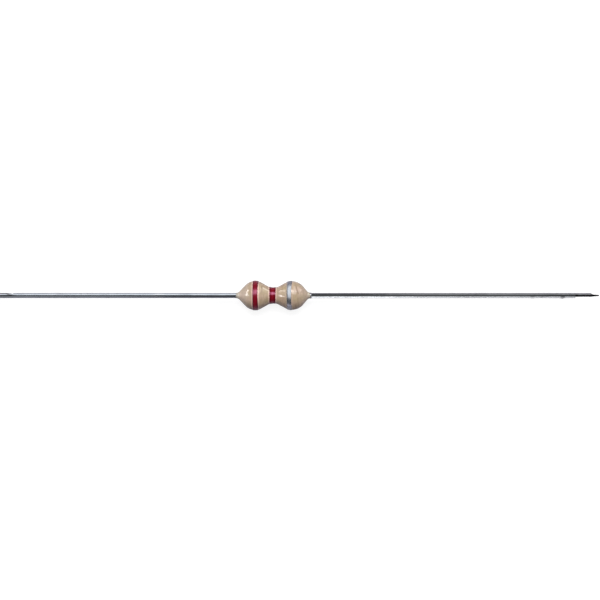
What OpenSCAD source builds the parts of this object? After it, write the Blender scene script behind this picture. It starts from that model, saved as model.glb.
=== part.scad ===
// Axial inductor with a dog-bone body.
// A coil of enamelled wire sits on a ferrite drum. Its ends pass through a notch in each flange and
// are wound and soldered round the roots of two tinned leads, which are glued into the drum's ends.
// The whole body is dipped in resin and ringed with three painted bands.
// Millimetres. The leads lie along X, the middle of the body is the origin, +Z is up.

/* [Leads] */
// Distance from tip to tip
overall_length = 62.4; // [50:0.1:66]
// Diameter of each lead
lead_d = 0.5; // [0.45:0.01:0.5]
// Diameter of each lead at its inner end, where it tapers into the core
root_d = 0.47; // [0.4:0.01:0.48]
// Length of each lead inside the core
lead_seat = 0.8; // [0.5:0.05:0.8]
// Chamfer on the left lead's cut end
lead_chamfer = 0.06; // [0.02:0.01:0.1]
// Distance from the middle to the nick in the left lead
nick_x = 25.05; // [10:0.05:28]
// Depth of the nick
nick_depth = 0.06; // [0.02:0.01:0.1]
// Length of the flat that the cutter pressed on the right lead's end
pinch_length = 2.2; // [1:0.05:4]
// Depth of that flat
pinch_depth = 0.11; // [0.02:0.01:0.12]
// Length of the sheared tongue at the tip
tongue_length = 0.58; // [0.3:0.02:0.7]
// Thickness of the tongue at its root
tongue_root = 0.2; // [0.14:0.01:0.24]
// Thickness of the tongue at the tip
tongue_tip = 0.12; // [0.06:0.01:0.14]
// Length of the slope down to the tongue
shear_length = 0.2; // [0.1:0.02:0.3]

/* [Core] */
// Length of the drum
core_length = 4.3; // [4.2:0.05:4.4]
// Diameter of the flanges
flange_d = 2.2; // [2.1:0.01:2.3]
// Thickness of each flange
flange_t = 0.9; // [0.86:0.01:0.95]
// Diameter of the drum between the flanges
spool_d = 0.9; // [0.8:0.01:0.95]
// Rounding of the rims and of the spool's roots
core_round = 0.1; // [0.04:0.01:0.12]
// Depth of each blind hole for a lead
hole_depth = 0.85; // [0.85:0.01:0.88]
// Thickness of the adhesive round a lead
glue_gap = 0.04; // [0.02:0.01:0.05]
// Width of the notch in each rim
notch_w = 0.24; // [0.2:0.01:0.3]
// Depth of the notch in each rim
notch_depth = 0.18; // [0.16:0.01:0.22]
// Chamfer at both ends of the notch, so that the wire isn't cut
notch_chamfer = 0.1; // [0.1:0.01:0.12]

/* [Winding] */
// Diameter of the enamelled wire
wire_d = 0.14; // [0.1:0.01:0.14]
// Number of turns on the core
turns = 8; // [6:1:8]
// Length of the core that the turns take up
coil_length = 2; // [1.8:0.05:2]
// Turns of the wire round each lead's root
wrap_turns = 1.5; // [1:0.25:1.75]
// Distance from one of those turns to the next
wrap_pitch = 0.16; // [0.16:0.01:0.18]
// Radius of the wire's bends at the notches
wire_bend = 0.12; // [0.11:0.005:0.12]

/* [Solder] */
// Diameter of each solder bead against the core
bead_d = 1.12; // [1.08:0.01:1.2]
// Length of each solder bead
bead_length = 0.9; // [0.85:0.01:1]
// Thickness of the solder where the left bead runs out
left_film = 0.01; // [0.005:0.005:0.015]
// Thickness of the solder that runs on along the right lead
right_film = 0.03; // [0.02:0.005:0.04]
// Distance from the middle to the end of that solder
right_collar_end = 3.66; // [3.6:0.01:3.8]

/* [Resin coat] */
// Diameter of the waist
waist_d = 1.5; // [1.4:0.01:1.6]
// Radius of the hollow round the waist
waist_round = 1.1; // [1:0.05:1.2]
// Slope from the waist up to each bulge, in degrees
flank_slope = 30; // [28:1:32]
// Distance from the middle to the widest point of each bulge
bulge_x = 1.73; // [1.68:0.01:1.78]
// Diameter of the left bulge
left_bulge_d = 2.8; // [2.7:0.01:2.9]
// Diameter of the right bulge
right_bulge_d = 2.77; // [2.7:0.01:2.9]
// Radius of both bulges' outlines on the side of the waist
inner_round = 1.15; // [1.1:0.05:1.2]
// Radius of the left bulge's outline on the side of its lead
left_outer_round = 1.35; // [1.3:0.05:1.4]
// Radius of the right bulge's outline on the side of its lead
right_outer_round = 1.5; // [1.4:0.05:1.55]
// Slope of the left cone, in degrees
left_cone = 46.5; // [44:0.5:50]
// Slope of the right cone, in degrees
right_cone = 51; // [48:0.5:54]
// Radius of the hollow where the left cone meets its lead
left_tail_round = 0.5; // [0.4:0.05:0.6]
// Radius of the hollow where the right cone meets its solder
right_tail_round = 0.35; // [0.3:0.05:0.5]
// Thickness of the coat where it ends
coat_edge = 0.01; // [0.01:0.005:0.03]

/* [Bands] */
// Thickness of the paint
paint_t = 0.03; // [0.01:0.01:0.04]
// Middle of the red band on the left bulge
first_band_x = -1.73; // [-1.9:0.01:-1.6]
// Width of the red band on the left bulge
first_band_w = 0.5; // [0.3:0.01:0.6]
// Middle of the red band on the waist
second_band_x = -0.09; // [-0.2:0.01:0.2]
// Width of the red band on the waist
second_band_w = 0.56; // [0.4:0.01:0.7]
// Middle of the silver band on the right bulge
silver_band_x = 1.525; // [1.4:0.005:1.7]
// Width of the silver band on the right bulge
silver_band_w = 0.43; // [0.3:0.01:0.6]

/* [Hidden] */
$fn = 72;

touch = 0.005;      // gap that keeps the wire clear of the core's faces
reach = 0.2;        // how far a cutting shape runs past what it cuts
arc_step = 6;       // degrees between the points of the coat's outline
round_step = 15;    // degrees between the points of the core's small rounds
bend_step = 22.5;   // degrees between the points of a bend in the wire
turn_steps = 20;    // points in one turn of the wire
slant_steps = 9;    // points where the wire slants between the spool, a notch and a lead
wire_sides = 8;
climb_turn = 90;    // degrees that the wire turns while it climbs from the spool to a notch
fall_turn = 60;     // degrees that it turns while it falls from the notch to the lead

tinned = [0.74, 0.75, 0.77];
solder_grey = [0.82, 0.83, 0.84];
ferrite = [0.23, 0.22, 0.22];
adhesive = [0.86, 0.80, 0.62];
enamelled_copper = [0.72, 0.38, 0.16];
beige_resin = [0.76, 0.67, 0.57];
red_paint = [0.60, 0.08, 0.12];
silver_paint = [0.70, 0.72, 0.74];

lead_r = lead_d / 2;
tip_x = overall_length / 2;
core_end = core_length / 2;
flange_r = flange_d / 2;
flange_inner = core_end - flange_t;
spool_r = spool_d / 2;
root_r = root_d / 2;
root_end = right_collar_end + 0.04;
hole_r = root_r + glue_gap;
mouth_r = lead_r + glue_gap;
hole_end = core_end - hole_depth;
seat_end = core_end - lead_seat;
notch_r = flange_r - notch_depth;
wire_r = wire_d / 2;
bead_r = bead_d / 2;
bead_end = core_end + bead_length;
waist_r = waist_d / 2;
notch_wire_r = notch_r + wire_r + touch;
beside_inner = flange_inner - wire_r - touch;
beside_outer = core_end + wire_r + touch;
wraps_end = beside_outer + wrap_pitch * wrap_turns;
// The wire's flat steps touch the spool and the leads at their middles
coil_r = (spool_r + wire_r) / cos(180 / turn_steps);
wrap_r = (root_radius(wraps_end) + wire_r) / cos(180 / turn_steps);
coil_space_r = coil_r + wire_r + 5 * touch;
coil_end = coil_length / 2;
coil_end_angle = 90 + 180 * turns;
notch_angle = coil_end_angle + climb_turn;
wrap_angle = notch_angle + fall_turn;

// ---- outlines: lists of [distance along X, radius] ----

// Points on a circle. The angle is measured from straight outwards, towards +X.
function arc(centre, radius, from, to, step = arc_step) =
    let (steps = ceil(abs(to - from) / step))
    [for (i = [0:steps])
        let (a = from + (to - from) * i / steps)
        centre + radius * [sin(a), cos(a)]];

function backwards(list) = [for (i = [len(list) - 1:-1:0]) list[i]];

function mirrored(outline) = backwards([for (p = outline) [-p.x, p.y]]);

function without_repeats(points) =
    [for (i = [0:len(points) - 1])
        if (i == 0 || norm(points[i] - points[i - 1]) > touch / 10) points[i]];

// A solid turned round the lead axis
module turned(outline)
    rotate([0, 90, 0]) rotate_extrude() polygon([for (p = without_repeats(outline)) [p.y, p.x]]);

// Everything inside the coat is drawn on the +X side. The -X side is the same, turned half round.
module on_left() rotate([0, 0, 180]) children();

// ---- leads ----

// Radius of a lead's tapered inner stretch
function root_radius(x) = root_r + (lead_r - root_r) * (x - seat_end) / (root_end - seat_end);

// A rod that ends in a chamfer
module lead_rod(chamfer)
    turned([
        [seat_end, 0], [seat_end, root_r], [root_end, lead_r],
        [tip_x - chamfer, lead_r], [tip_x, lead_r - chamfer], [tip_x, 0]]);

module lead_left()
    color(tinned) on_left() difference() {
        lead_rod(lead_chamfer);
        // the nick, a notch with its sharp corner towards the axis
        translate([nick_x, nick_depth - lead_r, -lead_d])
            rotate([0, 0, -135]) cube([reach, reach, 2 * lead_d]);
    }

// The cutter pressed a flat on one side of this lead and sheared its tip to a thin tongue
module lead_right() {
    flat_y = lead_r - pinch_depth;
    flat_x = tip_x - pinch_length;
    tongue_x = tip_x - tongue_length;
    slope = (lead_r - tongue_root / 2) / shear_length;
    color(tinned) intersection() {
        lead_rod(0);
        linear_extrude(lead_d + reach, center = true)
            polygon([
                [seat_end - reach, lead_r + reach],
                [tongue_x - shear_length - reach / slope, lead_r + reach],
                [tongue_x, tongue_root / 2],
                [tip_x, tongue_tip / 2],
                [tip_x, -tongue_tip / 2],
                [tongue_x, -tongue_root / 2],
                [tongue_x - shear_length, -flat_y],
                [flat_x, -flat_y],
                [flat_x - pinch_depth - reach, -lead_r - reach],
                [seat_end - reach, -lead_r - reach]]);
    }
}

// ---- ferrite core ----

function half_drum() = concat(
    arc([flange_inner - core_round, spool_r + core_round], core_round, 180, 90, round_step),
    arc([flange_inner + core_round, flange_r - core_round], core_round, -90, 0, round_step),
    arc([core_end - core_round, flange_r - core_round], core_round, 0, 90, round_step),
    [[core_end, 0]]);

module drum() turned(concat(mirrored(half_drum()), half_drum()));

// A slot through a rim, with its floor chamfered at both ends
module notch()
    rotate([notch_angle, 0, 0]) linear_extrude(notch_w, center = true)
        polygon([
            [flange_inner - reach, flange_r + reach],
            [flange_inner - reach, notch_r - notch_chamfer - reach],
            [flange_inner + notch_chamfer, notch_r],
            [core_end - notch_chamfer, notch_r],
            [core_end + reach, notch_r - notch_chamfer - reach],
            [core_end + reach, flange_r + reach]]);

module lead_hole()
    turned([
        [hole_end, 0], [hole_end, hole_r], [core_end, mouth_r],
        [core_end + reach, mouth_r], [core_end + reach, 0]]);

module notched_drum() difference() {
    drum();
    notch();
    on_left() notch();
}

module ferrite_core() color(ferrite) difference() {
    notched_drum();
    lead_hole();
    on_left() lead_hole();
}

// A cup of adhesive that fills the hole round the lead and behind it
module lead_glue()
    color(adhesive) turned([
        [hole_end, 0], [hole_end, hole_r], [core_end, mouth_r],
        [core_end, root_radius(core_end)], [seat_end, root_r], [seat_end, 0]]);

// ---- winding ----

function around(x, r, angle) = [x, r * cos(angle), r * sin(angle)];

// The wire's centre line from the middle of the coil to its end in the solder
half_route = without_repeats(concat(
    // half of the coil
    let (steps = turns * turn_steps / 2)
    [for (i = [0:steps])
        around(coil_end * i / steps, coil_r, 90 + (coil_end_angle - 90) * i / steps)],
    // off the spool and up beside the flange
    [for (i = [1:slant_steps])
        let (up = pow(i / slant_steps, 2), left = pow(1 - i / slant_steps, 2))
        around(beside_inner - (beside_inner - coil_end) * left,
               coil_r + (notch_wire_r - wire_bend - coil_r) * up,
               notch_angle - climb_turn * left)],
    // through the notch
    [for (p = concat(
        arc([beside_inner + wire_bend, notch_wire_r - wire_bend], wire_bend, -90, 0, bend_step),
        arc([beside_outer - wire_bend, notch_wire_r - wire_bend], wire_bend, 0, 90, bend_step)))
        around(p.x, p.y, notch_angle)],
    // down the outer face to the lead
    [for (i = [1:slant_steps])
        let (down = pow(1 - i / slant_steps, 2), along = pow(i / slant_steps, 2))
        around(beside_outer,
               wrap_r + (notch_wire_r - wire_bend - wrap_r) * down,
               notch_angle + fall_turn * along)],
    // round the lead
    let (steps = ceil(wrap_turns * turn_steps))
    [for (i = [1:steps])
        around(beside_outer + (wraps_end - beside_outer) * i / steps,
               wrap_r,
               wrap_angle + 360 * wrap_turns * i / steps)]));

function unit(v) = v / norm(v);
function half_turned(p) = [-p.x, -p.y, p.z];

route_end = len(half_route) - 1;
half_tangents = [for (i = [0:route_end])
    unit(half_route[min(i + 1, route_end)] - (i == 0 ? half_turned(half_route[1]) : half_route[i - 1]))];

// The direction of each ring's first corner, carried along the wire without twisting it
half_normals = [for (i = 0, n = [0, 0, 1]; i <= route_end;
    i = i + 1, n = i > route_end ? n : unit(n - (n * half_tangents[i]) * half_tangents[i])) n];

function ring(i) =
    let (n = half_normals[i], b = cross(half_tangents[i], n))
    [for (k = [0:wire_sides - 1])
        let (a = 360 * k / wire_sides)
        half_route[i] + wire_r * (cos(a) * n + sin(a) * b)];

half_rings = [for (i = [0:route_end]) ring(i)];

function half_turned_ring(corners) =
    [for (k = [0:wire_sides - 1]) half_turned(corners[(wire_sides - k) % wire_sides])];

// A closed tube through a list of rings of corners
module tube(rings)
    polyhedron(
        points = [for (corners = rings) each corners],
        faces = concat(
            [[for (k = [0:wire_sides - 1]) k]],
            [for (i = [0:len(rings) - 2], k = [0:wire_sides - 1])
                let (a = i * wire_sides + k,
                     b = i * wire_sides + (k + 1) % wire_sides,
                     c = a + wire_sides,
                     d = b + wire_sides)
                each [[a, c, d], [a, d, b]]],
            [[for (k = [wire_sides - 1:-1:0]) (len(rings) - 1) * wire_sides + k]]));

module winding()
    color(enamelled_copper) tube(concat(
        [for (i = [route_end:-1:1]) half_turned_ring(half_rings[i])],
        half_rings));

// The stretch of wire outside the coil, from its last few steps to its end
tail_start = turns * turn_steps / 2 - 3;
module wire_tail() tube([for (i = [tail_start:route_end]) half_rings[i]]);

// ---- solder ----

// A bead that thins along the lead to a film, which runs on to where it ends
module solder_form(film, end)
    turned(concat(
        [[core_end, 0]],
        [for (i = [0:12])
            [core_end + bead_length * i / 12,
             lead_r + film + (bead_r - lead_r - film) * (1 + cos(180 * i / 12)) / 2]],
        end > bead_end ? [[end, lead_r + film / 2]] : [],
        [[end, 0]]));

module solder(film, end)
    color(solder_grey) difference() {
        solder_form(film, end);
        lead_rod(0);
        wire_tail();
    }

// ---- resin coat ----

// One half of the outline, from the waist to the end of the cone on a lead
function half_coat(bulge_r, outer_round, cone, tail_round, edge_r) =
    let (cone_x = bulge_x + outer_round * sin(cone),
         cone_r = bulge_r - outer_round * (1 - cos(cone)),
         tail_r = edge_r + tail_round * (1 - cos(cone)),
         tail_x = cone_x + (cone_r - tail_r) / tan(cone) + tail_round * sin(cone))
    concat(
        arc([0, waist_r + waist_round], waist_round, 180, 180 - flank_slope),
        arc([bulge_x, bulge_r - inner_round], inner_round, -flank_slope, 0),
        arc([bulge_x, bulge_r - outer_round], outer_round, 0, cone),
        arc([tail_x, edge_r + tail_round], tail_round, 180 + cone, 180));

coat_outline = concat(
    mirrored(half_coat(left_bulge_d / 2, left_outer_round, left_cone, left_tail_round,
                       lead_r + coat_edge)),
    half_coat(right_bulge_d / 2, right_outer_round, right_cone, right_tail_round,
              lead_r + right_film + coat_edge));

coat_ends = [coat_outline[0].x, coat_outline[len(coat_outline) - 1].x];

module resin_coat()
    color(beige_resin) difference() {
        turned(concat([[coat_ends[0], 0]], coat_outline, [[coat_ends[1], 0]]));
        notched_drum();
        turned([
            [-flange_inner, 0], [-flange_inner, coil_space_r],
            [flange_inner, coil_space_r], [flange_inner, 0]]);
        lead_rod(0);
        on_left() lead_rod(0);
        solder_form(right_film, right_collar_end);
        on_left() solder_form(left_film, bead_end);
        wire_tail();
        on_left() wire_tail();
    }

// ---- painted bands ----

// A ring of paint that lies on the coat's outline
module band(middle, width) {
    from = middle - width / 2;
    to = middle + width / 2;
    under = concat(
        [[from, lookup(from, coat_outline)]],
        [for (p = coat_outline) if (p.x > from + touch && p.x < to - touch) p],
        [[to, lookup(to, coat_outline)]]);
    turned(concat(under, backwards([for (p = under) p + [0, paint_t]])));
}

module band_first() color(red_paint) band(first_band_x, first_band_w);
module band_second() color(red_paint) band(second_band_x, second_band_w);
module band_silver() color(silver_paint) band(silver_band_x, silver_band_w);

lead_left();
lead_right();
ferrite_core();
on_left() lead_glue();  // lead_glue_left
lead_glue();  // lead_glue_right
winding();
on_left() solder(left_film, bead_end);  // solder_left
solder(right_film, right_collar_end);  // solder_right
resin_coat();
band_first();
band_second();
band_silver();
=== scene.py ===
import math

import bmesh
import bpy
from mathutils import Matrix, Vector, noise


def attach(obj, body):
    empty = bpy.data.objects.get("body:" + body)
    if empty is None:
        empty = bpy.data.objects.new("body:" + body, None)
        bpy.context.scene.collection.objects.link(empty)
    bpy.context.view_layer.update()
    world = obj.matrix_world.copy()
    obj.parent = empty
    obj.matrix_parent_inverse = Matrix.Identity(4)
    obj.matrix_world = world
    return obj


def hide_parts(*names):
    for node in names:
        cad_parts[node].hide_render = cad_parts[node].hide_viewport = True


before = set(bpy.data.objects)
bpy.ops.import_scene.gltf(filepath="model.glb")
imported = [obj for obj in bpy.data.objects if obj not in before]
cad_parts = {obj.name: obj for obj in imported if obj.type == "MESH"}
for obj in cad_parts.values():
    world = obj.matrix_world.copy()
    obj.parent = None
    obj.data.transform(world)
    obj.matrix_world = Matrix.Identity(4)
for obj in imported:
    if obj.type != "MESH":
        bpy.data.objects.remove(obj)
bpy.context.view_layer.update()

# Shapes are worked out in millimetres, with the leads along X and the middle of the body at 0, and
# are scaled to metres when a piece is placed. An angle round the leads is measured from the top
# towards +Y.
MM = 0.001

LEAD_R = 0.25
TIP_X = 31.2
# inside the body a lead is a little thinner
LEAD_START, ROOT_END, ROOT_R = 1.35, 3.70, 0.235
# a point nearer the axis than this is inside a lead, and is never reshaped
INSIDE_R = LEAD_R * 0.9

WAIST_R, WAIST_ROUND, FLANK_SLOPE = 0.75, 1.1, 30
BULGE_X, INNER_ROUND = 1.73, 1.15
COAT_EDGE = 0.01
SOLDER_FILM = 0.03
COLLAR_END = 3.66
PAINT_THICK = 0.03

# how many faces go round each shape
BODY_STEPS, COLLAR_STEPS, LEAD_STEPS = 144, 72, 48


# ---- arithmetic ----

def smooth(value, low, high):
    """0 below low, 1 above high, and an even slope between them"""
    t = min(max((value - low) / (high - low), 0), 1)
    return t * t * (3 - 2 * t)


def hill(distance, width):
    """A rounded bump, 1 in the middle and almost 0 at 2 widths"""
    return math.exp(-(distance / width) ** 2)


def turn_between(a, b):
    """The angle from b to a, the short way round"""
    return (a - b + 180) % 360 - 180


def level(points, x):
    """Height of a line of [x, height] points at x"""
    if x <= points[0][0]:
        return points[0][1]
    for (x0, y0), (x1, y1) in zip(points, points[1:]):
        if x <= x1:
            return y0 + (y1 - y0) * (x - x0) / (x1 - x0)
    return points[-1][1]


# ---- outlines: lists of (distance along X, radius) ----

def arc(centre_x, centre_r, radius, start, end, step=2):
    """Points on a circle, with the angle from straight outwards towards +X"""
    count = math.ceil(abs(end - start) / step)
    angles = [math.radians(start + (end - start) * i / count) for i in range(count + 1)]
    return [(centre_x + radius * math.sin(a), centre_r + radius * math.cos(a)) for a in angles]


def filled(points, gap):
    """The same line with no two points further apart than gap, and no repeats"""
    line = [points[0]]
    for start, end in zip(points, points[1:]):
        length = math.dist(start, end)
        count = math.ceil(length / gap) if length > 1e-4 else 0
        line += [tuple(a + (b - a) * i / count for a, b in zip(start, end))
                 for i in range(1, count + 1)]
    return line


def half_coat(bulge_r, outer_round, cone, tail_round, edge_r):
    """The coat's outline from the waist to its end on a lead"""
    slope = math.radians(cone)
    cone_x = BULGE_X + outer_round * math.sin(slope)
    cone_r = bulge_r - outer_round * (1 - math.cos(slope))
    tail_r = edge_r + tail_round * (1 - math.cos(slope))
    tail_x = cone_x + (cone_r - tail_r) / math.tan(slope) + tail_round * math.sin(slope)
    return (arc(0, WAIST_R + WAIST_ROUND, WAIST_ROUND, 180, 180 - FLANK_SLOPE)
            + arc(BULGE_X, bulge_r - INNER_ROUND, INNER_ROUND, -FLANK_SLOPE, 0)
            + arc(BULGE_X, bulge_r - outer_round, outer_round, 0, cone)
            + arc(tail_x, edge_r + tail_round, tail_round, 180 + cone, 180))


left_half = half_coat(bulge_r=1.4, outer_round=1.35, cone=46.5, tail_round=0.5,
                      edge_r=LEAD_R + COAT_EDGE)
right_half = half_coat(bulge_r=1.385, outer_round=1.5, cone=51, tail_round=0.35,
                       edge_r=LEAD_R + SOLDER_FILM + COAT_EDGE)
coat_line = filled([(-x, r) for x, r in reversed(left_half)] + right_half, gap=0.035)
COAT_START, COAT_END = coat_line[0][0], coat_line[-1][0]

# Thick and thin places that the resin left as it ran and set:
# distance along X, angle, height, width along X and width round, in millimetres
RUNS = [
    (-2.37, 22, 0.014, 0.05, 0.20),
    (-1.06, 30, -0.010, 0.10, 0.16),
    (-0.72, 30, 0.016, 0.12, 0.18),
    (0.78, 26, 0.008, 0.20, 0.14),
    (0.94, -9, 0.030, 0.25, 0.20),
    (1.93, 20, 0.012, 0.07, 0.24),
    (2.27, 20, 0.026, 0.08, 0.26),
    (2.68, 24, 0.026, 0.09, 0.22),
    (2.86, 150, 0.018, 0.16, 0.25),
    (-2.30, 170, 0.020, 0.20, 0.18),
    (0.80, 160, 0.018, 0.16, 0.20),
    (-0.80, -140, 0.016, 0.14, 0.22),
    (2.30, -120, 0.018, 0.22, 0.20),
    (-2.52, -85, 0.016, 0.18, 0.22),
]
# and its broad and its finer waves: height, and how many there are to a millimetre
WAVES = [(0.012, 1.6), (0.007, 4.3)]

# Blobs of tin on the right lead, in the same terms
BLOBS = [
    (24.85, -80, 0.035, 0.16, 0.14),
    (27.72, -85, 0.045, 0.14, 0.14),
    (27.2, -95, 0.012, 0.7, 0.12),
    (19.9, 60, 0.012, 0.5, 0.12),
    (12.3, 150, 0.03, 0.2, 0.15),
]


def lumps(spots, x, angle, r):
    """How high the runs or blobs stand there"""
    total = 0
    for spot_x, spot_angle, height, long, wide in spots:
        beside = math.radians(turn_between(angle, spot_angle)) * r
        total += height * hill(x - spot_x, long) * hill(beside, wide)
    return total


def swell(x, angle):
    """How far the resin stands proud of its outline there, which is nowhere on a bare lead"""
    r = level(coat_line, x)
    turn = math.radians(angle)
    spot = Vector((x, r * math.sin(turn), r * math.cos(turn)))
    waves = sum(height * noise.noise(spot * often) for height, often in WAVES)
    return (lumps(RUNS, x, angle, r) + waves) * smooth(r, LEAD_R, LEAD_R + 0.25)


def coat_radius(x, angle):
    return level(coat_line, x) + swell(x, angle)


# ---- making and placing a piece ----

def turned(line, closed=False, steps=BODY_STEPS):
    """A mesh made by turning an outline round the leads' axis, where its ends meet in a point. A
    closed outline makes a ring."""
    bm = bmesh.new()
    verts = [bm.verts.new((x, 0, r)) for x, r in line]
    ends = zip(verts, verts[1:] + verts[:1]) if closed else zip(verts, verts[1:])
    edges = [bm.edges.new(pair) for pair in ends]
    bmesh.ops.spin(bm, geom=verts + edges, axis=(1, 0, 0), cent=(0, 0, 0), dvec=(0, 0, 0),
                   angle=math.tau, steps=steps, use_merge=True)
    bmesh.ops.remove_doubles(bm, verts=bm.verts, dist=1e-5)
    bmesh.ops.recalc_face_normals(bm, faces=bm.faces)
    return bm


def reshape(bm, rule):
    """Moves every vertex to where rule(x, angle, radius) puts it"""
    for v in bm.verts:
        r = math.hypot(v.co.y, v.co.z)
        angle = math.degrees(math.atan2(v.co.y, v.co.z))
        x, r = rule(v.co.x, angle, r)
        v.co = (x, r * math.sin(math.radians(angle)), r * math.cos(math.radians(angle)))


def place(bm, name, material, slot, *nodes, crease=40):
    """Makes the finished piece, which stands for those CAD nodes"""
    bmesh.ops.scale(bm, vec=(MM, MM, MM), verts=bm.verts)
    mesh = bpy.data.meshes.new(name)
    bm.to_mesh(mesh)
    bm.free()
    mesh.shade_smooth()
    mesh.set_sharp_from_angle(angle=math.radians(crease))
    mesh.materials.append(material)
    piece = bpy.data.objects.new(name, mesh)
    bpy.context.scene.collection.objects.link(piece)
    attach(piece, "root")
    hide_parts(*nodes)
    return piece


# ---- materials ----

class Socket:
    """An output of a node. Where it carries a number, sums on it add Math nodes."""

    def __init__(self, nodes, socket):
        self.nodes = nodes
        self.socket = socket

    def math(self, operation, *terms):
        return self.nodes.add("Math", dict(enumerate(terms)), operation=operation)

    def __add__(self, other):
        return self.math("ADD", self, other)

    def __radd__(self, other):
        return self.math("ADD", other, self)

    def __sub__(self, other):
        return self.math("SUBTRACT", self, other)

    def __rsub__(self, other):
        return self.math("SUBTRACT", other, self)

    def __mul__(self, other):
        return self.math("MULTIPLY", self, other)

    def __rmul__(self, other):
        return self.math("MULTIPLY", other, self)

    def __abs__(self):
        return self.math("ABSOLUTE", self)


class Nodes:
    """The nodes of a material or of the world"""

    def __init__(self, tree):
        self.tree = tree

    def add(self, kind, sockets, out=0, **settings):
        """Adds a node: its settings first, then the values or links of its sockets"""
        node = self.tree.nodes.new("ShaderNode" + kind)
        for name, value in settings.items():
            setattr(node, name, value)
        self.feed(node, sockets)
        return Socket(self, node.outputs[out])

    def feed(self, node, sockets):
        for name, value in sockets.items():
            if isinstance(value, Socket):
                self.tree.links.new(value.socket, node.inputs[name])
            else:
                node.inputs[name].default_value = value

    def mix(self, amount, a, b):
        """Colour a where amount is 0, and b where it is 1"""
        return self.add("Mix", {0: amount, 6: a, 7: b}, out=2, data_type="RGBA")

    def ray(self, kind):
        """1 for a ray of that kind, and 0 for another"""
        return self.add("LightPath", {}, out=f"Is {kind} Ray")

    def mirrored(self):
        """1 for a ray that came off a glossy surface or through a clear one"""
        return self.ray("Glossy") + self.ray("Transmission")


class Finish(Nodes):
    """A material with a Principled surface"""

    def __init__(self, name, constants):
        self.material = bpy.data.materials.new(name)
        self.material.use_nodes = True
        super().__init__(self.material.node_tree)
        self.surface = self.tree.nodes["Principled BSDF"]
        self.feed(self.surface, constants)

    def position(self):
        """Position on the object in millimetres"""
        where = self.add("TexCoord", {}, out="Object")
        return self.add("VectorMath", {0: where, "Scale": 1 / MM}, operation="SCALE")

    def along(self, axis, where):
        return self.add("SeparateXYZ", {0: where}, out=axis)

    def stretched(self, where, scale):
        return self.add("VectorMath", {0: where, 1: scale}, operation="MULTIPLY")

    def grain(self, where, scale, detail=2, roughness=0.5):
        """Noise from 0 to 1"""
        return self.add("TexNoise", {"Vector": where, "Scale": scale, "Detail": detail,
                                     "Roughness": roughness})

    def spread(self, value, low, high, to_low=0, to_high=1):
        """The value's range low to high, stretched to another and clipped"""
        return self.add("MapRange", {"Value": value, "From Min": low, "From Max": high,
                                     "To Min": to_low, "To Max": to_high})

    def slope(self, value, low, high):
        """0 on low's side and 1 on high's, with a soft slope between"""
        return self.add("MapRange", {"Value": value, "From Min": low, "From Max": high},
                        interpolation_type="SMOOTHSTEP")

    def bump(self, height, depth, under=None):
        """Relief of that depth in millimetres, over other relief"""
        sockets = {"Height": height, "Distance": depth * MM, "Strength": 1.0}
        if under:
            sockets["Normal"] = under
        return self.add("Bump", sockets)

    def done(self, links):
        self.feed(self.surface, links)
        return self.material


def colour(red, green, blue):
    """A colour as a shader takes it, from its 0 to 255 levels on a screen"""
    return tuple(c / 255 / 12.92 if c <= 10 else ((c / 255 + 0.055) / 1.055) ** 2.4
                 for c in (red, green, blue)) + (1.0,)


def grey(strength):
    """A plain grey of that strength of light, where 1 is white"""
    return (strength, strength, strength, 1.0)


# The painted bands: where each starts and ends, and how far its two edges stray, as lists of
# [angle, distance], from -180 to 180
BANDS = {
    "first": (-1.98, -1.48,
              [(-180, 0), (-60, -0.02), (0, -0.02), (60, 0.0), (180, 0)],
              [(-180, -0.01), (-80, 0.0), (-50, 0.02), (-30, 0.0), (0, -0.03), (30, -0.02),
               (70, 0.06), (180, -0.01)]),
    "second": (-0.37, 0.19,
               [(-180, 0), (-60, -0.01), (0, -0.02), (60, -0.03), (180, 0)],
               [(-180, 0), (-60, 0.0), (0, 0.01), (60, 0.04), (180, 0)]),
    "silver": (1.31, 1.74,
               [(-180, 0.02), (-60, -0.01), (-15, -0.03), (20, -0.03), (60, 0.02), (180, 0.02)],
               [(-180, 0.0), (-60, 0.0), (0, -0.04), (30, -0.02), (60, 0.04), (180, 0.0)]),
}


def resin_colour(f, where):
    """A cloudy tan with streaks and specks"""
    clouds = f.grain(where, 0.9, 3, 0.55)
    tan = f.mix(f.spread(clouds, 0.35, 0.65), colour(188, 170, 135), colour(204, 177, 157))
    fine = f.grain(where, 9, 4, 0.6)
    tan = f.mix(f.spread(fine, 0.3, 0.75, 0, 0.5), tan, colour(164, 142, 118))
    specks = f.grain(where, 16, 1)
    tan = f.mix(f.spread(specks, 0.70, 0.78, 0, 0.4), tan, colour(120, 96, 80))
    # it was turned as it set, which drew streaks round the body
    streaks = f.grain(f.stretched(where, (5, 0.9, 0.9)), 1.8, 3, 0.6)
    return f.mix(f.spread(streaks, 0.35, 0.7, 0, 0.45), tan, colour(146, 124, 100))


def painted_resin_shade_and_highlights(f, tan, x, y):
    """Painted shade in two dark lines along grooves in the resin, and painted highlight in a pale
    streak along a crest and in a pale patch
    """
    # painted shade: two dark lines, standing in for the shade in grooves of the resin
    painted_groove_shade_left = f.slope(abs(x + 1.10), 0.09, 0.02) * f.slope(abs(y - 0.58), 0.35, 0.2)
    painted_groove_shade_right = (f.slope(abs(x + y * 0.36 - 2.44), 0.12, 0.04)
                 * f.slope(abs(y - 0.55), 0.5, 0.3))
    tan = f.mix((painted_groove_shade_left + painted_groove_shade_right) * 0.6, tan, colour(130, 105, 85))
    # painted highlight: a pale diagonal streak along a crest on the left bulge's flank
    painted_crest_highlight = f.slope(abs(y + x * 0.51 - 0.21), 0.09, 0.03) * f.slope(abs(x + 0.77), 0.32, 0.2)
    tan = f.mix(painted_crest_highlight * 0.5, tan, colour(245, 230, 215))
    # painted highlight: a pale patch on the right bulge
    painted_patch_highlight = f.slope(abs(x - 2.04), 0.2, 0.08) * f.slope(abs(y - 0.5), 0.5, 0.3)
    return f.mix(painted_patch_highlight * 0.3, tan, colour(245, 225, 210))


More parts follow.
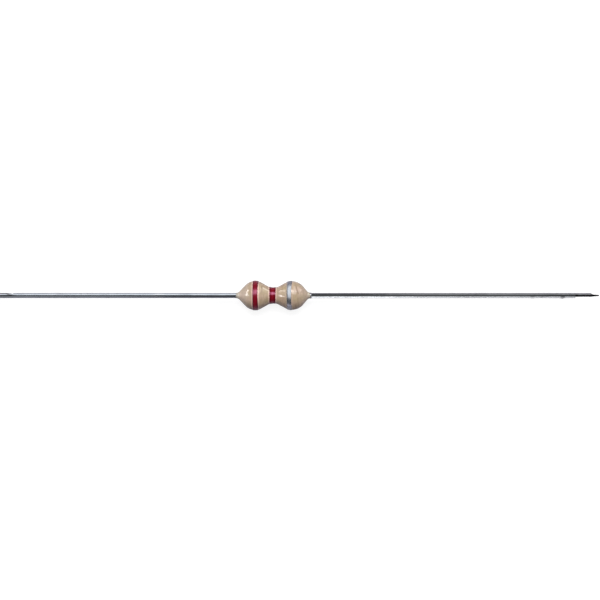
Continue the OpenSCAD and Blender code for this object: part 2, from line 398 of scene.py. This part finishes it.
def resin_by_the_bands(f, tan, where, x):
    """The paint's edges left a paler, pinkish line in the resin beside them, and a grey one where
    the silver starts"""
    pale = 0
    for name, (start, end, *strays) in BANDS.items():
        strength = 0.35 if name == "silver" else 0.95
        for edge in (start, end):
            pale = pale + f.spread(abs(x - edge), 0.04, 0.15, strength, 0)
    uneven = f.spread(f.grain(where, 2.2), 0.3, 0.6, 0.55, 1)
    tan = f.mix(pale * uneven, tan, colour(240, 204, 190))
    silver_start = BANDS["silver"][0] - 0.05
    return f.mix(f.slope(abs(x - silver_start), 0.1, 0.03) * 0.45, tan, colour(140, 138, 130))


def resin_ends(f, tan, x):
    """Painted sheen makes the cones towards its two ends paler. At its very ends it thins, and the
    tin shows through
    """
    pale, worn, tin = colour(228, 212, 196), colour(180, 175, 163), colour(140, 138, 132)
    # painted sheen: paler over both cones
    tan = f.mix(f.slope(x, -2.1, -2.8) * 0.36, tan, pale)
    tan = f.mix(f.slope(x, 2.3, 3.0) * 0.2, tan, pale)
    tan = f.mix(f.slope(x, -3.2, -3.45) * 0.8, tan, worn)
    tan = f.mix(f.slope(x, -3.48, -3.58) * 0.8, tan, tin)
    return f.mix(f.slope(x, 3.1, 3.4) * 0.7, tan, colour(176, 168, 152))


def resin_finish():
    f = Finish("beige_resin", {"Coat Roughness": 0.09, "Coat IOR": 1.4, "IOR": 1.33,
                               "Specular IOR Level": 0.3})
    where = f.position()
    x, y = f.along("X", where), f.along("Y", where)
    tan = resin_colour(f, where)
    tan = painted_resin_shade_and_highlights(f, tan, x, y)
    tan = resin_by_the_bands(f, tan, where, x)
    tan = resin_ends(f, tan, x)
    peel = f.bump(f.grain(where, 3.4, 2), 0.012)
    peel = f.bump(f.grain(where, 13, 2), 0.0018, peel)
    gloss = f.spread(f.grain(where, 1.7, 2), 0.35, 0.65, 0.24, 0.38)
    lacquer = f.spread(f.grain(where, 2.6, 2), 0.4, 0.6, 0.25, 0.7)
    return f.done({"Base Color": tan, "Roughness": gloss, "Coat Weight": lacquer, "Normal": peel})


def red_paint_finish():
    f = Finish("red_paint", {"Coat Roughness": 0.12, "Coat IOR": 1.3, "IOR": 1.5,
                             "Specular Tint": (1.0, 0.42, 0.7, 1.0)})
    where = f.position()
    x = f.along("X", where)
    # the brush ran round the body, so its lines go that way
    lines = f.grain(f.stretched(where, (9, 1.2, 1.2)), 1.6, 3)
    red = f.mix(f.spread(lines, 0.3, 0.7), colour(110, 4, 15), colour(132, 13, 30))
    thin = f.grain(where, 4, 2)
    red = f.mix(f.spread(thin, 0.62, 0.78, 0, 0.6), red, colour(118, 14, 30))
    # painted shade: both edges of a band are darker, as the rounded paint turns away from the
    # light there
    for name in ("first", "second"):
        for edge in BANDS[name][:2]:
            red = f.mix(f.slope(abs(x - edge), 0.15, 0.05) * 0.75, red, colour(80, 1, 10))
    # the second band is the glossier one
    gloss = f.spread(thin, 0.3, 0.7, 0.25, 0.4) - f.slope(x, -0.9, -0.6) * 0.11
    return f.done({"Base Color": red, "Roughness": gloss,
                   "Coat Weight": f.spread(lines, 0.3, 0.7, 0.05, 0.3),
                   "Normal": f.bump(lines, 0.006)})


def silver_paint_finish():
    f = Finish("silver_paint", {"Coat Weight": 0.1, "Coat Roughness": 0.2, "Metallic": 0.9})
    where = f.position()
    x = f.along("X", where)
    flakes = f.grain(where, 26, 1)
    lines = f.grain(f.stretched(where, (7, 1, 1)), 1.5, 3)
    silver = f.mix(f.spread(flakes, 0.35, 0.65), colour(134, 138, 145), colour(158, 161, 166))
    silver = f.mix(f.spread(lines, 0.55, 0.8, 0, 0.6), silver, colour(110, 112, 120))
    for edge in BANDS["silver"][:2]:
        silver = f.mix(f.slope(abs(x - edge), 0.13, 0.04) * 0.3, silver, colour(98, 98, 100))
    relief = f.bump(lines, 0.008)
    relief = f.bump(flakes, 0.0015, relief)
    return f.done({"Base Color": silver, "Roughness": f.spread(lines, 0.3, 0.7, 0.21, 0.34),
                   "Normal": relief})


def plier_line_and_darker_crown(f, tin, x, y):
    """Pliers left a dark line along the back of the left lead, which runs into the nick, and past
    the nick the crown of the lead is darker
    """
    line = 0.2 - f.slope(x, -25.75, -25.15) * 0.16
    pinched = f.slope(abs(y - line), 0.08, 0.03) * f.slope(x, -25.0, -25.12)
    tin = f.mix(pinched * 0.8, tin, colour(64, 62, 62))
    # past the nick, the crown of the lead is darker
    darker_crown = f.slope(abs(y + 0.01), 0.13, 0.03) * f.slope(x, -24.5, -25.2) * 0.6
    return f.mix(darker_crown, tin, colour(58, 58, 60))


def dark_crown_blobs_and_tip(f, tin, where, x, y, pits):
    """A dark line along the right lead's crown, a painted reflection of the dark room overhead,
    runs past two dark blobs to its sheared tip, which is paler and pitted, with a painted
    reflection of the dark room darkening its crown, a ring and its tongue
    """
    wander = f.spread(f.grain(f.stretched(where, (0.6, 0, 0)), 1.2), 0.3, 0.7, -0.05, 0.05)
    # painted reflection: a dark line along the crown, where it mirrors the dark room overhead
    streak = f.slope(abs(y + 0.025 + wander), 0.15, 0.05)
    tin = f.mix(streak * f.slope(x, 23, 27) * 0.5, tin, colour(60, 62, 66))
    for (blob_x, *_), dark in zip(BLOBS, (0.4, 0.6)):
        blob = f.slope(abs(x - blob_x), 0.3, 0.1) * f.slope(y, -0.02, -0.14)
        tin = f.mix(blob * dark, tin, colour(44, 44, 48))
    # the sheared tip is paler and pitted; painted reflection darkens its crown, a ring and its
    # tongue, where its flats mirror the dark room
    sheared_tip = f.slope(x, 28.85, 29.0)
    tin = f.mix(sheared_tip * 0.5, tin, colour(206, 206, 210))
    tin = f.mix(sheared_tip * f.spread(pits, 0.35, 0.6, 0.0, 0.2), tin, colour(70, 70, 74))
    tin = f.mix(sheared_tip * streak * 0.88, tin, colour(30, 30, 33))
    dark_tip_ring = f.slope(abs(x - 29.08), 0.16, 0.05) * streak
    tin = f.mix(dark_tip_ring, tin, colour(12, 12, 13))
    tongue = f.slope(x, 30.3, 30.7)
    return f.mix(tongue * 0.85, tin, colour(36, 36, 38))


def tinned_finish():
    f = Finish("tinned_wire", {"Metallic": 1.0})
    where = f.position()
    x, y = f.along("X", where), f.along("Y", where)
    drawn = f.grain(f.stretched(where, (0.5, 16, 16)), 1.2, 3, 0.6)
    # painted light: the left lead's tin is darker and the right lead's paler, standing in for the
    # right lead's brighter reflection of the floor along its lower side
    dark = f.mix(f.spread(drawn, 0.3, 0.7), colour(138, 145, 153), colour(158, 162, 168))
    pale = f.mix(f.spread(drawn, 0.3, 0.7), colour(157, 160, 163), colour(175, 177, 179))
    tin = f.mix(f.slope(x, -3, 3), dark, pale)
    smudge = f.grain(f.stretched(where, (0.45, 2.5, 2.5)), 1, 4, 0.65)
    tin = f.mix(f.spread(smudge, 0.55, 0.78, 0, 0.6), tin, colour(104, 106, 112))
    pits = f.grain(f.stretched(where, (3, 7, 7)), 1.4, 1)
    tin = f.mix(f.spread(pits, 0.72, 0.78, 0, 0.9), tin, colour(50, 50, 54))
    # the tin is duller from where the body was held while it was soldered out to the ends
    away = abs(x) + f.spread(f.grain(f.stretched(where, (0.3, 2, 2)), 1.3), 0.3, 0.7, -0.5, 0.5)
    dull = f.slope(away, 10.6, 11.2)
    ring = f.slope(away, 10.5, 10.8) * f.slope(away, 11.5, 11.1)
    tin = f.mix(ring * 0.25, tin, colour(196, 196, 198))
    tin = plier_line_and_darker_crown(f, tin, x, y)
    tin = dark_crown_blobs_and_tip(f, tin, where, x, y, pits)
    gloss = f.spread(dull, 0, 1, 0.10, 0.20) + f.spread(smudge, 0.45, 0.75, 0, 0.14)
    relief = f.bump(drawn, 0.0025)
    relief = f.bump(pits, 0.002, relief)
    return f.done({"Base Color": tin, "Roughness": gloss, "Normal": relief})


def solder_finish():
    f = Finish("solder", {"Metallic": 1.0})
    cloud = f.grain(f.position(), 5, 3)
    grey = f.mix(f.spread(cloud, 0.35, 0.65), colour(176, 178, 182), colour(214, 215, 216))
    return f.done({"Base Color": grey, "Roughness": f.spread(cloud, 0.3, 0.7, 0.14, 0.3),
                   "Normal": f.bump(cloud, 0.02)})


def copper_finish():
    f = Finish("enamelled_copper", {"Coat Weight": 0.6, "Coat Roughness": 0.08, "Metallic": 0.85})
    where = f.position()
    cloud = f.grain(where, 6, 2)
    copper = f.mix(f.spread(cloud, 0.35, 0.65), colour(176, 92, 48), colour(206, 118, 66))
    return f.done({"Base Color": copper, "Roughness": f.spread(cloud, 0.3, 0.7, 0.18, 0.3),
                   "Normal": f.bump(f.grain(where, 30, 1), 0.001)})


def ferrite_finish():
    f = Finish("ferrite", {"IOR": 1.6})
    grains = f.grain(f.position(), 22, 3)
    dark = f.mix(f.spread(grains, 0.35, 0.7), colour(52, 50, 50), colour(78, 75, 74))
    return f.done({"Base Color": dark, "Roughness": f.spread(grains, 0.3, 0.7, 0.5, 0.75),
                   "Normal": f.bump(grains, 0.004)})


def adhesive_finish():
    f = Finish("adhesive", {"IOR": 1.5})
    cloud = f.grain(f.position(), 7, 2)
    amber = f.mix(f.spread(cloud, 0.35, 0.65), colour(206, 184, 132), colour(226, 208, 164))
    return f.done({"Base Color": amber, "Roughness": f.spread(cloud, 0.3, 0.7, 0.3, 0.5),
                   "Normal": f.bump(cloud, 0.004)})


# ---- pieces ----

def make_coat(material):
    ragged_width, ragged_by = 0.12, 0.05
    bm = turned([(COAT_START, 0)] + coat_line + [(COAT_END, 0)])

    def dipped(x, angle, r):
        if r < INSIDE_R:
            return x, r
        # the edges on the leads aren't straight
        near_end = hill(x - COAT_START, ragged_width) + hill(x - COAT_END, ragged_width)
        x += near_end * ragged_by * noise.noise(Vector((x, 0, math.radians(angle) * 0.8)))
        return x, r + swell(x, angle)

    reshape(bm, dipped)
    return place(bm, "resin_coat_skin", material, "beige_resin", "resin_coat")


def make_band(name, material, slot, node):
    start, end, start_stray, end_stray = BANDS[name]
    width = end - start
    rounded, bed = 0.08, -0.04
    # across the paint: share of the width, and height above the resin
    rim = [(0, bed), (0, 0.3 * PAINT_THICK), (0.03, 0.75 * PAINT_THICK), (rounded, PAINT_THICK)]
    flat = [(rounded + (1 - 2 * rounded) * i / 12, PAINT_THICK) for i in range(1, 12)]
    across = rim + flat + [(1 - share, height) for share, height in reversed(rim)]
    # far from the axis for now, so that the height can be read back from each vertex
    clear = 5
    bm = turned([(share, clear + height) for share, height in across], closed=True)

    def brushed(share, angle, r):
        stray = level(start_stray, angle) * (1 - share) + level(end_stray, angle) * share
        ragged = 0.014 * noise.noise(Vector((share * 7, math.radians(angle) * 4, start)))
        x = start + share * width + stray + ragged
        return x, coat_radius(x, angle) + r - clear

    reshape(bm, brushed)
    return place(bm, "band_" + name + "_paint", material, slot, node, crease=60)


def lead_line(start_x, end_x, gap):
    """The outline of a plain stretch of lead"""
    return filled([(start_x, LEAD_R), (end_x, LEAD_R)], gap)


def drawn_wave(x, angle, seed):
    """How unevenly the wire was drawn there"""
    return 0.004 * noise.noise(Vector((x * 0.7, math.radians(angle), seed)))


def make_left_lead(material):
    """This lead ends in a plain cut, and has a nick on its back"""
    nick_x, nick_depth, nick_half, nick_slope, nick_shift = 25.05, 0.06, 0.07, 0.5, 0.04
    chamfer = 0.06
    line = ([(LEAD_START, 0), (LEAD_START, ROOT_R), (ROOT_END, LEAD_R)]
            + lead_line(ROOT_END, nick_x - 0.2, gap=0.2)
            + lead_line(nick_x - 0.2, nick_x + 0.2, gap=0.02)
            + lead_line(nick_x + 0.2, TIP_X - chamfer, gap=0.2)
            + [(TIP_X, LEAD_R - chamfer), (TIP_X, 0)])
    bm = turned([(-x, r) for x, r in filled(line, gap=0.3)], steps=LEAD_STEPS)

    def drawn(x, angle, r):
        if r > INSIDE_R and abs(x) > ROOT_END:
            r += drawn_wave(x, angle, 0)
        return x, r

    reshape(bm, drawn)
    for v in bm.verts:
        along = v.co.x + nick_x
        beyond = max(abs(along + nick_shift) - nick_half, 0)
        rough = 0.012 * noise.noise(Vector((along * 9, 0, v.co.z * 5)))
        v.co.y = min(v.co.y, LEAD_R - nick_depth + beyond * nick_slope + rough)
    return place(bm, "lead_left_wire", material, "tinned_wire", "lead_left", crease=30)


def make_right_lead(material):
    """The cutter pressed a flat on the front of this lead and sheared its tip to a thin tongue"""
    flat_depth, flat_length = 0.11, 2.2
    tongue_length, tongue_root, tongue_tip, shear_length = 0.58, 0.2, 0.12, 0.2
    flat_x = TIP_X - flat_length
    tongue_x = TIP_X - tongue_length
    line = ([(LEAD_START, 0), (LEAD_START, ROOT_R), (ROOT_END, LEAD_R)]
            + lead_line(ROOT_END, flat_x - 0.3, gap=0.1)
            + lead_line(flat_x - 0.3, TIP_X, gap=0.03)
            + [(TIP_X, 0)])
    bm = turned(line, steps=LEAD_STEPS)

    def drawn(x, angle, r):
        if r > INSIDE_R and x > ROOT_END:
            r += drawn_wave(x, angle, 5) + lumps(BLOBS, x, angle, LEAD_R)
        return x, r

    reshape(bm, drawn)
    # how far the wire reaches to its front and to its back, where anything further is cut away
    clear = LEAD_R + 0.1
    shear_x = tongue_x - shear_length
    tongue = [(tongue_x, tongue_root / 2), (TIP_X, tongue_tip / 2)]
    front = [(0, clear), (flat_x - 0.1, clear), (flat_x, LEAD_R - flat_depth),
             (shear_x, LEAD_R - flat_depth)] + tongue
    back = [(0, clear), (shear_x - 0.1, clear), (shear_x, LEAD_R)] + tongue
    for v in bm.verts:
        v.co.y = max(min(v.co.y, level(back, v.co.x)), -level(front, v.co.x))
    return place(bm, "lead_right_wire", material, "tinned_wire", "lead_right", crease=30)


def make_collar(material):
    """The end of the solder, which shows past the resin on the right lead"""
    start_x, film_r = 3.3, LEAD_R + SOLDER_FILM
    round_x = COLLAR_END - 0.08
    line = filled([(start_x, LEAD_R - 0.05), (start_x, film_r), (round_x, film_r + 0.008)]
                  + arc(round_x, LEAD_R - 0.032, 0.07, 0, 90, step=10), gap=0.02)
    bm = turned(line, closed=True, steps=COLLAR_STEPS)

    def run(x, angle, r):
        if r > LEAD_R + 0.01:
            r += 0.014 * noise.noise(Vector((x * 5, math.radians(angle) * 1.5, 2)))
            # a drop of it on the front
            r += 0.03 * hill(x - 3.62, 0.07) * hill(turn_between(angle, -100), 40)
        return x, r

    reshape(bm, run)
    return place(bm, "solder_collar", material, "solder", "solder_right")


tinned = tinned_finish()
solder = solder_finish()
red_paint = red_paint_finish()
coat = make_coat(resin_finish())
first_band = make_band("first", red_paint, "red_paint", "band_first")
second_band = make_band("second", red_paint, "red_paint", "band_second")
silver_band = make_band("silver", silver_paint_finish(), "silver_paint", "band_silver")
left_lead = make_left_lead(tinned)
right_lead = make_right_lead(tinned)
collar = make_collar(solder)

hidden_finishes = {
    "ferrite_core": ferrite_finish(),
    "winding": copper_finish(),
    "lead_glue_left": adhesive_finish(),
    "solder_left": solder,
}
hidden_finishes["lead_glue_right"] = hidden_finishes["lead_glue_left"]
for node, material in hidden_finishes.items():
    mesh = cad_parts[node].data
    mesh.materials.clear()
    mesh.materials.append(material)


# ---- floor, lamps and camera ----

FLOOR_Z = -1.432
FLOOR_HALF = 1500

floor_mesh = bpy.data.meshes.new("floor")
bm = bmesh.new()
bmesh.ops.create_grid(bm, x_segments=1, y_segments=1, size=FLOOR_HALF * MM)
bmesh.ops.translate(bm, vec=(0, 0, FLOOR_Z * MM), verts=bm.verts)
bm.to_mesh(floor_mesh)
bm.free()
floor = bpy.data.objects.new("floor", floor_mesh)
bpy.context.scene.collection.objects.link(floor)

# The floor is white to the camera, where the object's shadow still falls on it. It is paler in
# reflections than to the light that bounces off it, so that it doesn't brighten the object from
# below.
paper = Finish("floor_paper", {"Roughness": 0.9, "Specular IOR Level": 0.0})
seen, reflected = paper.ray("Camera"), paper.mirrored()
shade = paper.mix(seen, colour(100, 100, 106), colour(130, 130, 130))
glow = paper.mix(reflected, grey(0), grey(0.05))
floor_mesh.materials.append(paper.done({
    "Base Color": paper.mix(reflected, shade, colour(189, 184, 193)),
    "Emission Color": paper.mix(seen, glow, grey(0.885)),
    "Emission Strength": 1.0,
}))

# Round it are dim grey walls, which are white to the camera
world = bpy.data.worlds.new("studio")
bpy.context.scene.world = world
world.use_nodes = True
room = Nodes(world.node_tree)
room.tree.nodes.remove(room.tree.nodes["Background"])
dim = room.add("Background", {"Color": (0.94, 0.91, 1.0, 1), "Strength": 0.10})
walls = room.add("Background", {"Color": (0.95, 0.97, 1.0, 1), "Strength": 0.17})
white = room.add("Background", {"Color": grey(1), "Strength": 1.0})
unseen = room.add("MixShader", {0: room.mirrored(), 1: dim, 2: walls})
shown = room.add("MixShader", {0: room.ray("Camera"), 1: unseen, 2: white})
room.feed(room.tree.nodes["World Output"], {"Surface": shown})


def softbox(name, at, size, brightness, *only, towards=(0, 0, 0), tint=(1, 1, 1),
            gloss_only=False):
    """An area lamp at a place in millimetres, with its width along X first. It lights only the
    pieces named, and with gloss_only it shows only in their gloss."""
    lamp = bpy.data.lights.new(name, "AREA")
    lamp.shape = "RECTANGLE"
    lamp.size, lamp.size_y = size[0] * MM, size[1] * MM
    lamp.energy = brightness * lamp.size * lamp.size_y * math.pi
    lamp.color = tint
    holder = bpy.data.objects.new(name, lamp)
    bpy.context.scene.collection.objects.link(holder)
    aim = (Vector(towards) - Vector(at)).to_track_quat("-Z", "Y")
    holder.matrix_world = Matrix.LocRotScale(Vector(at) * MM, aim, None)
    holder.visible_camera = False
    holder.visible_diffuse = not gloss_only
    lit = bpy.data.collections.new(name + "_pieces")
    for piece in only:
        lit.objects.link(piece)
    holder.light_linking.receiver_collection = lit


def from_top(angle, distance):
    """A place over the body, that angle from straight up towards +Y"""
    return (0, distance * math.sin(math.radians(angle)), distance * math.cos(math.radians(angle)))


def strip_beside(name, start_x, end_x, side_y, top, brightness, lead):
    """A strip lamp close beside a stretch of one lead, from the floor up to a height"""
    middle = (start_x + end_x) / 2
    softbox(name, (middle, side_y, top / 2), (end_x - start_x, top), brightness, lead,
            towards=(middle, 0, top / 2))


KEY, KEY_SIZE = from_top(28, 700), (560, 400)
FRONT, BACK = -60, 60

dipped = (coat, first_band, second_band, floor)
softbox("key", KEY, KEY_SIZE, 8.0, *dipped)
softbox("key_collar", KEY, KEY_SIZE, 2.4, collar)
softbox("fill_left", (-500, 60, 220), (400, 300), 1.3, *dipped)
softbox("fill_right", (500, 60, 220), (400, 300), 1.5, *dipped)
softbox("glint", (150, 410, 520), (320, 200), 3.5, *dipped, gloss_only=True)
softbox("lamp_left", (-433, -10, 250), (90, 90), 20.0, *dipped, gloss_only=True)
softbox("lamp_right", (330, 270, 350), (160, 160), 11.0, *dipped, gloss_only=True)
softbox("window_left", (-465, 165, 87), (360, 150), 16.0, *dipped, gloss_only=True)
softbox("window_right", (377, 316, 87), (320, 240), 5.0, *dipped, gloss_only=True)
softbox("sheen_silver", from_top(35, 500), (1200, 1300), 2.1, silver_band)
softbox("sheen_silver_front", (0, -500, 55), (800, 110), 1.1, silver_band,
        tint=(0.94, 0.84, 1.0))
softbox("sheen_left", from_top(56, 500), (1400, 675), 2.2, left_lead)
strip_beside("sheen_left_front", -70, -18, FRONT, 86, 0.5, left_lead)
strip_beside("sheen_right_front", 2, 60, FRONT, 86, 0.4, right_lead)
strip_beside("sheen_right", 2, 16, FRONT, 34, 6.2, right_lead)
strip_beside("sheen_right_end", 16, 60, FRONT, 30, 3.5, right_lead)
strip_beside("sheen_right_back", 16, 60, BACK, 86, 0.5, right_lead)

# The camera looks straight down, with +X to the right
CAMERA_X, CAMERA_Y, CAMERA_HEIGHT = 2.544, -0.432, 160
camera_data = bpy.data.cameras.new("camera")
camera_data.lens = 100
camera_data.sensor_width = 36
camera_data.clip_start = MM
camera = bpy.data.objects.new("camera", camera_data)
camera.location = (CAMERA_X * MM, CAMERA_Y * MM, CAMERA_HEIGHT * MM)
bpy.context.scene.collection.objects.link(camera)
bpy.context.scene.camera = camera
bpy.context.scene.view_settings.view_transform = "Standard"
